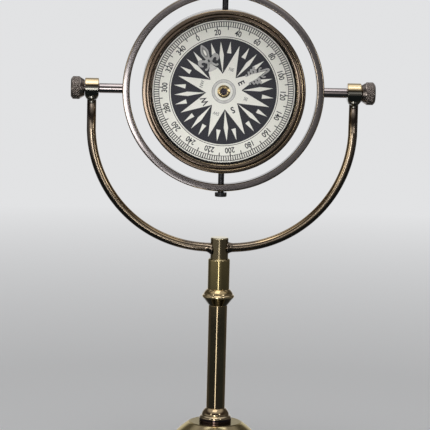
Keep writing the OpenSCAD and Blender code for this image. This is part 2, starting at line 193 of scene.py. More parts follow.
def turned(name, corners, place, sides=192, spacing=6.0, shape=None):
    """A closed outline turned about local Z, its radius changed by shape(radius, height, angle) if given."""
    points = with_supports(filleted(corners), spacing)
    point_wears = wear_along(points)
    along = [0.0]
    for here, after in zip(points, points[1:] + points[:1]):
        along.append(along[-1] + (after - here).length)
    mean_r = sum(point.x for point in points) / len(points)
    vertices, wears, rows = [], [], []
    for point, wear in zip(points, point_wears):
        ring = []
        for k in range(sides if point.x > NEAR_ZERO else 1):
            angle = 2 * math.pi * k / sides
            r = shape(point.x, point.y, angle) if shape else point.x
            ring.append(len(vertices))
            vertices.append((r * math.cos(angle), r * math.sin(angle), point.y))
            wears.append(wear)
        rows.append(ring)
    faces, uvs = [], []
    for i, row in enumerate(rows):
        following = rows[(i + 1) % len(rows)]
        if len(row) == 1 and len(following) == 1:
            continue
        for k in range(sides):
            left, right = 2 * math.pi * mean_r * k / sides, 2 * math.pi * mean_r * (k + 1) / sides
            four_corners = [(row, k, left, i), (row, k + 1, right, i),
                            (following, k + 1, right, i + 1), (following, k, left, i + 1)]
            face, face_uvs = [], []
            for ring, turn, across, stop in four_corners:
                vertex = ring[turn % len(ring)]
                if vertex not in face:
                    face.append(vertex)
                    face_uvs.append((across, along[stop]))
            faces.append(face)
            uvs += face_uvs
    return bpy.data.objects.new(name, surface_mesh(name, vertices, faces, uvs, wears, place))


def swept(name, stations, sides=48):
    """A round bar through (centre, direction, radius) stations in an upright plane that faces the front."""
    vertices, faces, uvs, along = [], [], [], [0.0]
    for (a, _, _), (b, _, _) in zip(stations, stations[1:]):
        along.append(along[-1] + (b - a).length)
    depth = Vector((0, 1, 0))
    turn_mm = 2 * math.pi * stations[-1][2] / sides
    for centre, direction, radius in stations:
        across = direction.cross(depth).normalized()
        for k in range(sides):
            angle = 2 * math.pi * k / sides
            vertices.append(centre + radius * (math.cos(angle) * across + math.sin(angle) * depth))
    for i in range(len(stations) - 1):
        for k in range(sides):
            after = (k + 1) % sides
            faces.append((i * sides + k, i * sides + after, (i + 1) * sides + after, (i + 1) * sides + k))
            left, right = turn_mm * k, turn_mm * (k + 1)
            uvs += [(along[i], left), (along[i], right), (along[i + 1], right), (along[i + 1], left)]
    for i in (0, len(stations) - 1):
        faces.append(tuple(range(i * sides, (i + 1) * sides))[::-1 if i == 0 else 1])
        uvs += [(along[i], turn_mm * k) for k in range(sides)]
    unworn = [0.0] * len(vertices)
    mesh = surface_mesh(name, vertices, faces, uvs, unworn, Matrix.Scale(MM, 4))
    return bpy.data.objects.new(name, mesh)


def finished(shell, name):
    """The mesh of a shape that was under construction."""
    mesh = bpy.data.meshes.new(name)
    shell.to_mesh(mesh)
    shell.free()
    return mesh


def softened(name, mesh, voxel, passes):
    """Closed shells, joined into one even skin with its edges softened."""
    piece = bpy.data.objects.new(name, mesh)
    scene.collection.objects.link(piece)
    remesh = piece.modifiers.new("Even skin", "REMESH")
    remesh.mode = "VOXEL"
    remesh.voxel_size = voxel * MM
    smooth = piece.modifiers.new("Soft edges", "SMOOTH")
    smooth.factor = 0.5
    smooth.iterations = passes
    result = bpy.data.meshes.new_from_object(piece.evaluated_get(bpy.context.evaluated_depsgraph_get()))
    result.name = name
    bpy.data.objects.remove(piece)
    result.shade_smooth()
    return bpy.data.objects.new(name, result)


def softened_copy(name, node, voxel, passes):
    """A copy of a CAD node with its edges softened."""
    mesh = frame["nodes"][node].data.copy()
    skin = bmesh.new()
    skin.from_mesh(mesh)
    bmesh.ops.remove_doubles(skin, verts=skin.verts, dist=1e-6)
    skin.to_mesh(mesh)
    skin.free()
    return softened(name, mesh, voxel, passes)


def stain(piece, rule):
    """Paints shade into a piece's colour by rule(x, y, z), from 0 to 1, at its points in millimetres."""
    stains = piece.data.attributes.new("stain", "FLOAT", "POINT").data
    for vertex in piece.data.vertices:
        stains[vertex.index].value = min(1.0, max(0.0, rule(*(vertex.co / MM))))


def rub(piece, rule):
    """Wears a turned or swept piece to bare metal by at least rule(x, y, z), from 0 to 1; on some pieces
    this bare metal is partly a painted highlight.
    """
    wears = piece.data.attributes["wear"].data
    for vertex in piece.data.vertices:
        wears[vertex.index].value = max(wears[vertex.index].value, min(1.0, rule(*(vertex.co / MM))))


def settle(piece, material, body, slot, *nodes):
    """Gives a finished piece its material and body, and hides the nodes that it stands for. Its slot is not
    used.
    """
    if piece.name not in scene.collection.objects:
        scene.collection.objects.link(piece)
    piece.data.materials.clear()
    piece.data.materials.append(material)
    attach(piece, body)
    if nodes:
        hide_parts(*nodes)
    return piece


# Materials

def new_node(tree, kind, inputs=(), **settings):
    """A node whose inputs, by name or number, are values or other nodes' outputs."""
    node = tree.nodes.new(kind)
    for name, value in settings.items():
        setattr(node, name, value)
    for socket, value in dict(inputs).items():
        if isinstance(value, bpy.types.NodeSocket):
            tree.links.new(value, node.inputs[socket])
        else:
            node.inputs[socket].default_value = value
    return node


def new_material(name):
    """An empty node material with its Principled shader, as (material, tree, shader)."""
    material = bpy.data.materials.new(name)
    material.use_nodes = True
    tree = material.node_tree
    return material, tree, tree.nodes["Principled BSDF"]


def noise(tree, vector, scale, detail=3.0, roughness=0.5):
    """A soft random pattern, from 0 to 1."""
    inputs = {"Vector": vector, "Scale": scale, "Detail": detail, "Roughness": roughness}
    return new_node(tree, "ShaderNodeTexNoise", inputs).outputs["Fac"]


def remap(tree, value, low, high, to_low=0.0, to_high=1.0):
    """A value carried over from one range to another, and kept within it."""
    inputs = {"Value": value, "From Min": low, "From Max": high, "To Min": to_low, "To Max": to_high}
    return new_node(tree, "ShaderNodeMapRange", inputs).outputs["Result"]


def math_node(tree, operation, a, b):
    """One step of arithmetic on two numbers or outputs."""
    return new_node(tree, "ShaderNodeMath", {0: a, 1: b}, operation=operation).outputs[0]


def total(tree, value, *others):
    """The sum of several numbers or outputs."""
    for other in others:
        value = math_node(tree, "ADD", value, other)
    return value


def mix_value(tree, factor, a, b):
    """A blend of two numbers or outputs."""
    return new_node(tree, "ShaderNodeMix", {"Factor": factor, "A": a, "B": b}, data_type="FLOAT").outputs[0]


def mix_colour(tree, factor, *colours):
    """A blend of two colours, each an RGB value or another node's output."""
    a, b = (c if isinstance(c, bpy.types.NodeSocket) else (*c, 1.0) for c in colours)
    return new_node(tree, "ShaderNodeMix", {0: factor, 6: a, 7: b}, data_type="RGBA").outputs[2]


def bumps(tree, shader, height, strength, depth):
    """Makes a surface uneven by a texture, up to that depth in metres."""
    inputs = {"Height": height, "Strength": strength, "Distance": depth}
    tree.links.new(new_node(tree, "ShaderNodeBump", inputs).outputs["Normal"], shader.inputs["Normal"])


def object_coordinates(tree):
    """Each point's place in the shared frame at rest, in metres."""
    return new_node(tree, "ShaderNodeTexCoord").outputs["Object"]


def turning_lines(tree, closeness):
    """Fine lines that run round a turned piece, from its UV map in millimetres."""
    uv = new_node(tree, "ShaderNodeUVMap", uv_map="surface_mm").outputs["UV"]
    inputs = {0: uv, 1: (0.04, closeness, 1.0)}
    stretched = new_node(tree, "ShaderNodeVectorMath", inputs, operation="MULTIPLY").outputs[0]
    return noise(tree, stretched, 1.0, 4.0, 0.6)


def antique_metal(name, patina, second, polished, roughness, rubbed, brushed=0.0, mottle=1.0,
                  painted_shade_colour=(0.08, 0.065, 0.06), coat=0.35, edge=(1.0, 1.0, 1.0)):
    """Dark patina in two shades, rubbed to polished metal on edges and in patches, under thin lacquer, and
    darkened where shade is painted into the colour.
    """
    material, tree, shader = new_material(name)
    place = object_coordinates(tree)
    broad = noise(tree, place, 45.0, 3.0)
    fine = noise(tree, place, 420.0, 4.0, 0.6)
    lines = turning_lines(tree, 5.0)
    # The wear attribute also carries bright rubbed stretches that are partly painted highlights on some
    # pieces.
    wear = new_node(tree, "ShaderNodeAttribute", attribute_name="wear").outputs["Fac"]
    patchy = math_node(tree, "MULTIPLY", remap(tree, broad, 0.3, 0.7), 0.2 * mottle)
    speckle = math_node(tree, "MULTIPLY", remap(tree, fine, 0.3, 0.7), 0.12 * mottle)
    streaks = math_node(tree, "MULTIPLY", remap(tree, lines, 0.35, 0.65), 0.12 * mottle)
    bare = remap(tree, total(tree, patchy, speckle, streaks, wear), 0.6 - rubbed, 1.15 - rubbed)
    shade = mix_colour(tree, remap(tree, broad, 0.35, 0.65), patina, second)
    spots = remap(tree, fine, 0.58, 0.75, 0.0, 0.35 * mottle)
    worn = mix_colour(tree, bare, mix_colour(tree, spots, shade, [0.4 * c for c in patina]), polished)
    # Painted shade: a per-point share darkens the colour towards the shade colour.
    painted_shade_share = new_node(tree, "ShaderNodeAttribute", attribute_name="stain").outputs["Fac"]
    tree.links.new(mix_colour(tree, painted_shade_share, worn, painted_shade_colour), shader.inputs["Base Color"])
    shader.inputs["Metallic"].default_value = 1.0
    shader.inputs["Specular Tint"].default_value = (*edge, 1.0)
    shader.inputs["Coat Weight"].default_value = coat
    shader.inputs["Coat Roughness"].default_value = 0.08
    if brushed:
        tangent = new_node(tree, "ShaderNodeTangent", direction_type="UV_MAP", uv_map="surface_mm")
        tree.links.new(tangent.outputs[0], shader.inputs["Tangent"])
        shader.inputs["Anisotropic"].default_value = brushed
        shader.inputs["Anisotropic Rotation"].default_value = 0.25
    spread = 0.06 * mottle
    grain = remap(tree, total(tree, lines, fine), 0.7, 1.3, roughness - spread, roughness + spread)
    tree.links.new(mix_value(tree, bare, grain, roughness - 0.04), shader.inputs["Roughness"])
    bumps(tree, shader, total(tree, lines, math_node(tree, "MULTIPLY", fine, 0.5)), 0.15 * mottle, 0.00002)
    return material


def plain_finish(name, colour, roughness, metallic=0.0, variation=0.15, bump=0.1, scale=500.0):
    """An even finish with slight changes of shade and a fine grain."""
    material, tree, shader = new_material(name)
    fine = noise(tree, object_coordinates(tree), scale, 4.0, 0.6)
    dark = [c * (1 - variation) for c in colour]
    light = [min(1.0, c * (1 + variation)) for c in colour]
    tree.links.new(mix_colour(tree, remap(tree, fine, 0.3, 0.7), dark, light), shader.inputs["Base Color"])
    shader.inputs["Metallic"].default_value = metallic
    grain = remap(tree, fine, 0.3, 0.7, roughness - 0.05, roughness + 0.05)
    tree.links.new(grain, shader.inputs["Roughness"])
    bumps(tree, shader, fine, bump, 0.00003)
    return material


def window_glass():
    """Thin clear glass: what is behind shows through, with a faint reflection on it."""
    material, tree, shader = new_material("clear_window")
    tree.nodes.remove(shader)
    see_through = new_node(tree, "ShaderNodeBsdfTransparent", {"Color": (0.985, 0.985, 0.985, 1)})
    gloss = new_node(tree, "ShaderNodeBsdfGlossy", {"Roughness": 0.02})
    fresnel = new_node(tree, "ShaderNodeFresnel", {"IOR": 1.45})
    inside = new_node(tree, "ShaderNodeNewGeometry").outputs["Backfacing"]
    shine = math_node(tree, "MULTIPLY", fresnel.outputs[0], math_node(tree, "SUBTRACT", 1.0, inside))
    mix = new_node(tree, "ShaderNodeMixShader", {0: shine, 1: see_through.outputs[0], 2: gloss.outputs[0]})
    tree.links.new(mix.outputs[0], tree.nodes["Material Output"].inputs["Surface"])
    return material


# Some of these also carry the colour of the shade painted onto their pieces, and post_brass's polished
# colour is bright enough to be partly a painted highlight.
CASE_METAL = antique_metal("brown_bronze", (0.10, 0.075, 0.055), (0.14, 0.10, 0.07), (0.72, 0.55, 0.33),
                           roughness=0.17, rubbed=-0.05, brushed=0.4, mottle=0.1)
RING_METAL = antique_metal("grey_bronze", (0.17, 0.155, 0.155), (0.23, 0.205, 0.20), (0.66, 0.50, 0.29),
                           roughness=0.16, rubbed=-0.05, brushed=0.3, mottle=0.14)
YOKE_METAL = antique_metal("yoke_bronze", (0.24, 0.19, 0.14), (0.32, 0.25, 0.17), (0.80, 0.58, 0.32),
                           roughness=0.17, rubbed=0.0, mottle=0.12)
COLUMN_METAL = antique_metal("olive_brass", (0.36, 0.29, 0.13), (0.44, 0.35, 0.16), (0.95, 0.80, 0.50),
                             roughness=0.14, rubbed=0.1, mottle=0.35)
POST_METAL = antique_metal("post_brass", (0.23, 0.185, 0.11), (0.31, 0.25, 0.14), (1.0, 0.88, 0.58),
                           roughness=0.16, rubbed=0.0, mottle=0.35)
TUBE_METAL = antique_metal("tube_brass", (0.34, 0.26, 0.16), (0.46, 0.35, 0.20), (0.60, 0.46, 0.24),
                           roughness=0.11, rubbed=0.0, mottle=0.5)
COLLAR_METAL = antique_metal("collar_brass", (0.36, 0.27, 0.16), (0.44, 0.33, 0.19), (0.90, 0.78, 0.54),
                             roughness=0.13, rubbed=0.2, mottle=0.8, painted_shade_colour=(0.10, 0.07, 0.085))
BEAD_METAL = antique_metal("rubbed_brass", (0.42, 0.31, 0.15), (0.52, 0.39, 0.20), (0.88, 0.70, 0.42),
                           roughness=0.14, rubbed=0.2, painted_shade_colour=(0.09, 0.08, 0.055))
BASE_METAL = antique_metal("satin_brass", (0.34, 0.26, 0.13), (0.44, 0.34, 0.18), (0.92, 0.78, 0.46),
                           roughness=0.18, rubbed=0.1, painted_shade_colour=(0.15, 0.11, 0.06), coat=0.12,
                           edge=(0.74, 0.71, 0.58))
EYE_METAL = antique_metal("eye_brass", (0.62, 0.48, 0.28), (0.72, 0.57, 0.33), (0.87, 0.74, 0.50),
                          roughness=0.13, rubbed=0.2, mottle=0.5, painted_shade_colour=(0.11, 0.115, 0.11))
KNOB_METAL = antique_metal("knob_bronze", (0.19, 0.16, 0.145), (0.27, 0.23, 0.205), (0.50, 0.43, 0.37),
                           roughness=0.26, rubbed=0.0, mottle=0.6)
CAP_METAL = antique_metal("cap_brass", (0.66, 0.50, 0.25), (0.76, 0.58, 0.30), (0.92, 0.74, 0.42),
                          roughness=0.2, rubbed=0.4, mottle=0.6, painted_shade_colour=(0.07, 0.055, 0.065))
SPINDLE_METAL = antique_metal("spindle_bronze", (0.30, 0.26, 0.26), (0.36, 0.31, 0.30), (0.6, 0.5, 0.42),
                              roughness=0.12, rubbed=0.0, mottle=0.3)
BLACK_STEEL = plain_finish("black_steel", (0.022, 0.022, 0.024), 0.3, metallic=0.6)
ZINC = plain_finish("zinc_plate", (0.55, 0.56, 0.57), 0.35, metallic=1.0)
RUBBER = plain_finish("black_rubber", (0.03, 0.03, 0.03), 0.7)
RUBY = plain_finish("red_jewel", (0.42, 0.03, 0.06), 0.12)
MAGNET = plain_finish("magnet_steel", (0.2, 0.2, 0.22), 0.4, metallic=1.0)
PAPER = plain_finish("card_paper", (0.80, 0.79, 0.72), 0.75, variation=0.03, scale=900.0)
BLACK_INK = plain_finish("black_ink", (0.016, 0.016, 0.024), 0.6, variation=0.2)
GREY_INK = plain_finish("grey_ink", (0.24, 0.24, 0.23), 0.7)
PALE_INK = plain_finish("pale_grey_ink", (0.39, 0.385, 0.37), 0.7)
FAINT_INK = plain_finish("faint_grey_ink", (0.56, 0.55, 0.525), 0.7)
FELT = plain_finish("green_felt", (0.03, 0.12, 0.06), 0.95, variation=0.3, bump=0.6, scale=1500.0)
GLASS = window_glass()


# Base and column

TUBE_R = half_width("column_tube")
TUBE_WALL = 1.55
SPIGOT_R = TUBE_R - TUBE_WALL - CLEARANCE
SPIGOT_H = 4.0


def make_base():
    """Bell-shaped base: a dome below the flat top, then a hollow flare out to a rounded rim."""
    low, top = heights("base")
    wall, boss_r, boss_h = 4.0, 9.0, 15.0
    dome_r, dome_from, dome_to = 45.0, 33.0, 58.0
    top_r, top_edge, edge_turn = 16.2, 0.6, 0.8
    rim_h, hollow_from = 5.0, 12.0
    dome_x = top_r - dome_r * math.sin(math.radians(dome_from))
    dome_h = top - dome_r * math.cos(math.radians(dome_from))
    foot_r = dome_x + dome_r * math.sin(math.radians(dome_to))
    foot_h = dome_h + dome_r * math.cos(math.radians(dome_to))
    rim_top = low + rim_h
    flare_r = (foot_h - rim_top) / (1 - math.cos(math.radians(dome_to)))
    flare_x = foot_r + flare_r * math.sin(math.radians(dome_to))
    rim_r = half_width("base") - rim_h / 2
    outline = [
        (ROD_HOLE_R, top, 0.2),
        (top_r - top_edge, top, 0.3),
        *arc(dome_x, dome_h, dome_r, 90 - dome_from - edge_turn, 90 - dome_to, 24),
        *arc(flare_x, rim_top + flare_r, flare_r, 270 - dome_to, 270, 16)[1:],
        *arc(rim_r, low + rim_h / 2, rim_h / 2, 90, -90, 16),
        (flare_x, low, 0.3),
        *arc(flare_x, rim_top + flare_r, flare_r + wall, 270 - hollow_from, 270 - dome_to, 10),
        *arc(dome_x, dome_h, dome_r - wall, 90 - dome_to, 90 - dome_from, 12)[1:],
        (boss_r, top - wall, 0.5),
        (boss_r, boss_h, 0.5),
        (ROD_HOLE_R, boss_h, 0.2),
    ]
    piece = turned("turned_base", outline, upright(), sides=256)
    shade_from, shade_to, shade_h, worn_sheen_h = 16, 62, 20, 16

    def patches(x, y, z):
        """Painted shade: the flat top is half darkened, and the slope is darker on the slants beside a
        bright stretch at front and back.
        """
        if z > top - 0.1:
            return 0.5
        lean = math.degrees(math.atan2(abs(x), abs(y)))
        return 0.8 * min((lean - shade_from) / 8, (shade_to - lean) / 30, (z - top + shade_h) / 8, 1.0)

    # Painted shade on the flat top and the slope's slants, then the top of the slope rubbed bright, partly
    # wear and partly a painted highlight.
    stain(piece, patches)
    rub(piece, lambda x, y, z: 0.6 * min(1.0, (z - top + worn_sheen_h) / 10) if z < top - 0.3 else 0.0)
    settle(piece, BASE_METAL, "stand", "base_brass", "base")


def make_felt():
    """Felt disc glued under the base, its edge cut slightly uneven."""
    r = half_width("base_felt")
    low, high = heights("base_felt")
    unevenness, waves = 0.0012, 31
    outline = [(0, high, 0), (r, high, 0.3), (r, low, 0.3), (0, low, 0)]

    def cut_edge(radius, height, angle):
        """A slightly wavy edge."""
        return radius * (1 + unevenness * math.sin(waves * angle + height))

    piece = turned("felt_disc", outline, upright(), sides=160, spacing=2.5, shape=cut_edge)
    settle(piece, FELT, "stand", "felt", "base_felt")


def make_foot_collar():
    """Collar with an upright band, a round lip, a step and a round neck that runs up to the tube."""
    low, high = heights("foot_collar")
    r = half_width("foot_collar")
    lip, lip_h, neck_r = 1.9, 4.3, 8.5
    top = high - low - SPIGOT_H
    dome_x, dome_h, dome_r = 1.8, 3.0, 7.0
    meet = math.degrees(math.acos((neck_r - dome_x) / dome_r))
    end = math.degrees(math.asin((top - dome_h) / dome_r))
    outline = [
        (ROD_HOLE_R, 0, 0.2),
        (r, 0, 0.25),
        *arc(r - lip, lip_h - lip, lip, 0, 76, 8),
        (neck_r, lip_h, 0.1),
        *arc(dome_x, dome_h, dome_r, meet, end, 12),
        (TUBE_R, top, 0),
        (SPIGOT_R, top, 0.1),
        (SPIGOT_R, high - low, 0.2),
        (ROD_HOLE_R, high - low, 0.2),
    ]
    piece = turned("turned_foot_collar", outline, upright(low), spacing=1.0)
    band_top = low + lip_h - lip
    # Painted shade: the upright band at the foot is painted dark.
    stain(piece, lambda x, y, z: (band_top - z) / 0.3 + 0.5)
    settle(piece, COLLAR_METAL, "stand", "column_brass", "foot_collar")


def make_tube():
    """Plain tube between the collar and the bead."""
    low, high = heights("column_tube")
    inner, edge = TUBE_R - TUBE_WALL, 0.15
    outline = [(inner, low, edge), (TUBE_R, low, edge), (TUBE_R, high, edge), (inner, high, edge)]
    piece = turned("long_tube", outline, upright(), spacing=3.0)
    settle(piece, TUBE_METAL, "stand", "column_brass", "column_tube")


def make_knop():
    """Bead with a straight cone below it and a round shoulder above."""
    low, high = heights("column_knop")
    height = high - low - SPIGOT_H
    r = half_width("column_knop")
    top_r = half_width("upper_sleeve") - 0.4
    bead, bead_h, shoulder_r = 1.25, 5.7, 9.0
    dome_x, dome_h, dome_r = 1.05, 3.35, 9.0
    meet = math.degrees(math.acos((shoulder_r - dome_x) / dome_r))
    end = math.degrees(math.asin((height - dome_h) / dome_r))
    outline = [
        (ROD_HOLE_R, -SPIGOT_H, 0.2),
        (SPIGOT_R, -SPIGOT_H, 0.2),
        (SPIGOT_R, 0, 0.1),
        (TUBE_R, 0, 0.1),
        *arc(r - bead, bead_h, bead, -37, 78, 12),
        *arc(dome_x, dome_h, dome_r, meet, end, 12),
        (top_r, height, 0),
        (ROD_HOLE_R, height, 0.2),
    ]
    piece = turned("turned_bead", outline, upright(low + SPIGOT_H), spacing=1.0)
    cone_top = low + SPIGOT_H + bead_h - 0.4
    # Painted shade: the cone below the bead is painted dark.
    stain(piece, lambda x, y, z: (cone_top - z) / 0.5)
    settle(piece, BEAD_METAL, "stand", "column_brass", "column_knop")


def make_sleeve():
    """Wider sleeve above the bead, bored out at its top for the post."""
    low, high = heights("upper_sleeve")
    r = half_width("upper_sleeve")
    socket_r = half_width("yoke_post") + CLEARANCE
    post_low = heights("yoke_post")[0]
    outline = [
        (ROD_HOLE_R, low, 0.2),
        (r, low, 0.15),
        (r, high, 1.2),
        (socket_r, high, 0.15),
        (socket_r, post_low, 0.1),
        (ROD_HOLE_R, post_low, 0.2),
    ]
    piece = turned("upper_sleeve_tube", outline, upright(), spacing=3.0)
    settle(piece, COLUMN_METAL, "stand", "column_brass", "upper_sleeve")


def make_post():
    """Round post whose top face is polished bright, partly a painted highlight."""
    low, high = heights("yoke_post")
    r = half_width("yoke_post")
    outline = [(0, high, 0), (r, high, 0.8), (r, low, 0.3), (0, low, 0)]
    piece = turned("post", outline, upright(), spacing=3.0)
    # Top face rubbed bare: polish, and partly a painted highlight.
    rub(piece, lambda x, y, z: 1.0 if z > high - 0.02 else 0.0)
    settle(piece, POST_METAL, "stand", "column_brass", "yoke_post")


# Yoke

SPINDLE_R = 2.5
BAR_R = 2.85
BEND_R = 74.4
ARM_DROP = 6.3


def arm_path():
    """How far out the arms' upright legs are, and how high their level stretches."""
    return box("yoke_arm_right")[1].x - BAR_R, heights("yoke_post")[1] - ARM_DROP


def arm_stations(side, droop):
    """Stations along an arm, from inside the post round the quarter circle and up into its eye."""
    leg_x, arm_z = arm_path()
    straight = leg_x - BEND_R
    inside, braze_reach, flare, steepness = 1.0, 3.4, 1.5, 2.2
    braze_steps, bend_steps, closest = 8, 72, 0.3
    stations = []
    for k in range(braze_steps + 1):
        share = k / braze_steps
        swell = (1 - share) ** steepness
        x = half_width("yoke_post") - inside + share * (braze_reach + inside)
        centre = Vector((side * x, 0, arm_z - droop * swell))
        stations.append((centre, Vector((side, 0, 0)), BAR_R + flare * swell))
    for k in range(bend_steps + 1):
        angle = math.pi / 2 * k / bend_steps
        x, z = straight + BEND_R * math.sin(angle), arm_z + BEND_R * (1 - math.cos(angle))
        if x > abs(stations[-1][0].x) + closest:
            direction = Vector((side * math.cos(angle), 0, math.sin(angle)))
            stations.append((Vector((side * x, 0, z)), direction, BAR_R))
    top = heights("yoke_arm_right")[1]
    stations.append((Vector((side * leg_x, 0, top)), Vector((0, 0, 1)), BAR_R))
    return stations


def make_arms():
    """Bent rods with painted shade on the outer side and below the eyes, and rubbed golden inside the bend,
    partly wear and partly a painted highlight.
    """
    leg_x, arm_z = arm_path()

    def outwards(x, z):
        """From -1 on the inner side of an arm to 1 on its outer side."""
        from_centre = math.hypot(max(0, abs(x) - leg_x + BEND_R), max(0, arm_z + BEND_R - z))
        return (from_centre - BEND_R) / BAR_R

    def dirt(x, y, z):
        """Painted shade on the outer side, and all round just below the eye."""
        return min(0.85, max((outwards(x, z) - 0.05) / 0.5, (z - AXIS_Z + 20) / 9))

    def rubbed(x, y, z):
        """Bare on the inner side, except near the post: partly wear and partly a painted highlight."""
        return 0.95 * min(1.0, (-0.1 - outwards(x, z)) / 0.4, (abs(x) - 14) / 12)

    for (side, word), droop in zip(SIDES, (1.6, 0.3)):
        piece = swept(f"yoke_rod_{word}", arm_stations(side, droop))
        # Painted shade, then a rubbed inner side that is partly a painted highlight.
        stain(piece, dirt)
        rub(piece, rubbed)
        settle(piece, YOKE_METAL, "stand", "yoke_brass", f"yoke_arm_{word}")


def make_eyes():
    """Bored barrels on the ends of the arms, drawn in below in a hollow curve to the arm's thickness."""
    hole_r, edge, neck_r = SPINDLE_R + CLEARANCE, 0.45, 3.1
    drawn_from, drawn_to, hollowness = 3.6, 7.6, 1.5
    for side, word in SIDES:
        low, high = box(f"yoke_eye_{word}")
        start, end = sorted((abs(low.x), abs(high.x)))
        middle, half, r = side * (start + end) / 2, (end - start) / 2, high.z - AXIS_Z
        barrel = [(hole_r, start, 0.2), (r, start, edge), (r, end, edge), (hole_r, end, 0.2)]
        foot, top = low.z, AXIS_Z - hole_r - 0.6
        neck = [(0, foot, 0), (neck_r, foot, 0.1), (neck_r, AXIS_Z - drawn_to, 0.3),
                (half, AXIS_Z - r, 0.8), (half, top, 0.2), (0, top, 0)]
        below_eye = Matrix.Translation((middle * MM, 0, 0)) @ upright()
        parts = [turned("barrel", barrel, facing_side(side), sides=128),
                 turned("neck", neck, below_eye, sides=96)]
        shell = bmesh.new()
        for part in parts:
            shell.from_mesh(part.data)
            bpy.data.objects.remove(part)
        for vertex in shell.verts:
            drop = (AXIS_Z - vertex.co.z / MM - drawn_from) / (drawn_to - drawn_from)
            drawn = half + (neck_r - half) * min(1.0, max(0.0, drop)) ** hollowness
            offset = vertex.co.x / MM - middle
            vertex.co.x = (middle + offset * min(1.0, drawn / half)) * MM
        piece = softened(f"yoke_eye_{word}_cast", finished(shell, "eye"), voxel=0.15, passes=3)
        # Painted shade: each eye is painted dark from a little above its axis down.
        stain(piece, lambda x, y, z: min(0.92, (AXIS_Z + 2.5 - z) / 1.2))
        settle(piece, EYE_METAL, "stand", "eye_brass", f"yoke_eye_{word}")


# Ring, spindles, knobs and screws

def make_ring():
    """Heavy ring with rounded edges and slightly crowned front and back faces."""
    r, thickness, edge = half_width("gimbal_ring"), 4.5, 0.75
    inner = r - thickness
    back, front = fronts("gimbal_ring")
    front_face, drop = crown(inner, r, front, 24.0, 0.6)
    back_face = [(radius, back + front - height, 0) for radius, height, _ in reversed(front_face)]
    outline = [
        (inner, front - drop, edge), (inner, back + drop, edge), *back_face,
        (r, back + drop, edge), (r, front - drop, edge), *front_face,
    ]
    piece = turned("hanging_ring", outline, facing_front(), sides=288)
    settle(piece, RING_METAL, "gimbal", "ring_bronze", "gimbal_ring")


def make_spindles():
    """Spindles, thin in the ring, the eyes and the knobs, and thick between ring and eyes."""
    thick_r = 3.0
    for side, word in SIDES:
        inner, tip = sorted(abs(corner.x) for corner in box(f"tilt_spindle_{word}"))
        start = half_width("gimbal_ring") - 0.3
        end = min(abs(corner.x) for corner in box(f"yoke_eye_{word}")) - 0.2
        outline = [
            (0, inner, 0), (SPINDLE_R, inner, 0.2), (SPINDLE_R, start, 0), (thick_r, start, 0.1),
            (thick_r, end, 0.3), (SPINDLE_R, end, 0.1), (SPINDLE_R, tip, 0.3), (0, tip, 0),
        ]
        piece = turned(f"spindle_{word}", outline, facing_side(side), sides=96, spacing=3.0)
        settle(piece, SPINDLE_METAL, "gimbal", "ring_bronze", f"tilt_spindle_{word}")


KNURL_COUNT = 28
KNURL_DEPTH = 0.5
KNURL_ROWS = 36


def make_knobs():
    """Thumb knobs: a taper next to the eye, a crossed knurl and a chamfered end with a shallow recess."""
    taper, chamfer, face_r, margin = 2.6, 0.8, 5.0, 0.15
    recess_r, recess, hole_depth = 4.0, 0.25, 2.0
    for side, word in SIDES:
        start, end = sorted(abs(corner.x) for corner in box(f"knob_{word}"))
        r = box(f"knob_{word}")[1].z - AXIS_Z
        root = r - KNURL_DEPTH
        grip_from, grip_to = start + taper + margin, end - chamfer - margin
        pitch = 2 * math.pi * r / KNURL_COUNT

        def knurl(radius, height, angle):
            """Diamonds that stand between two sets of crossing grooves."""
            if not (grip_from <= height <= grip_to and radius > root - 0.1):
                return radius
            turns = angle * KNURL_COUNT / (2 * math.pi)
            lift = (height - grip_from) / pitch
            crosses = [abs(((turns + way * lift) % 1.0) - 0.5) * 2 for way in (1, -1)]
            fade = min(1.0, (height - grip_from) / 0.3, (grip_to - height) / 0.3)
            return radius + KNURL_DEPTH * (1 - max(crosses) ** 2) * fade

        grip = grip_to - grip_from
        rows = [(root, grip_from + grip * k / KNURL_ROWS, 0) for k in range(KNURL_ROWS + 1)]
        outline = [
            (SPINDLE_R, start, 0.15), (face_r, start, 0.25), (root, start + taper, 0.0), *rows,
            (root, end - chamfer, 0.1), (root - 1.3 * chamfer, end, 0.2), (recess_r, end, 0.15),
            (recess_r - 0.3, end - recess, 0.1), (0, end - recess, 0), (0, end - hole_depth, 0),
            (SPINDLE_R, end - hole_depth, 0.1),
        ]
        place = facing_side(side)
        piece = turned(f"thumb_knob_{word}", outline, place, sides=240, spacing=3.0, shape=knurl)
        settle(piece, KNOB_METAL, f"{word}_knob", "knob_bronze", f"knob_{word}")


def make_screws():
    """Blackened screws through the ring into the case, their edges softened."""
    for word in ("top", "bottom"):
        piece = softened_copy(f"swing_screw_{word}", f"pivot_screw_{word}", voxel=0.12, passes=3)
        settle(piece, BLACK_STEEL, "compass", "black_steel", f"pivot_screw_{word}")


# Case and what closes it

BORE_R = 45.0


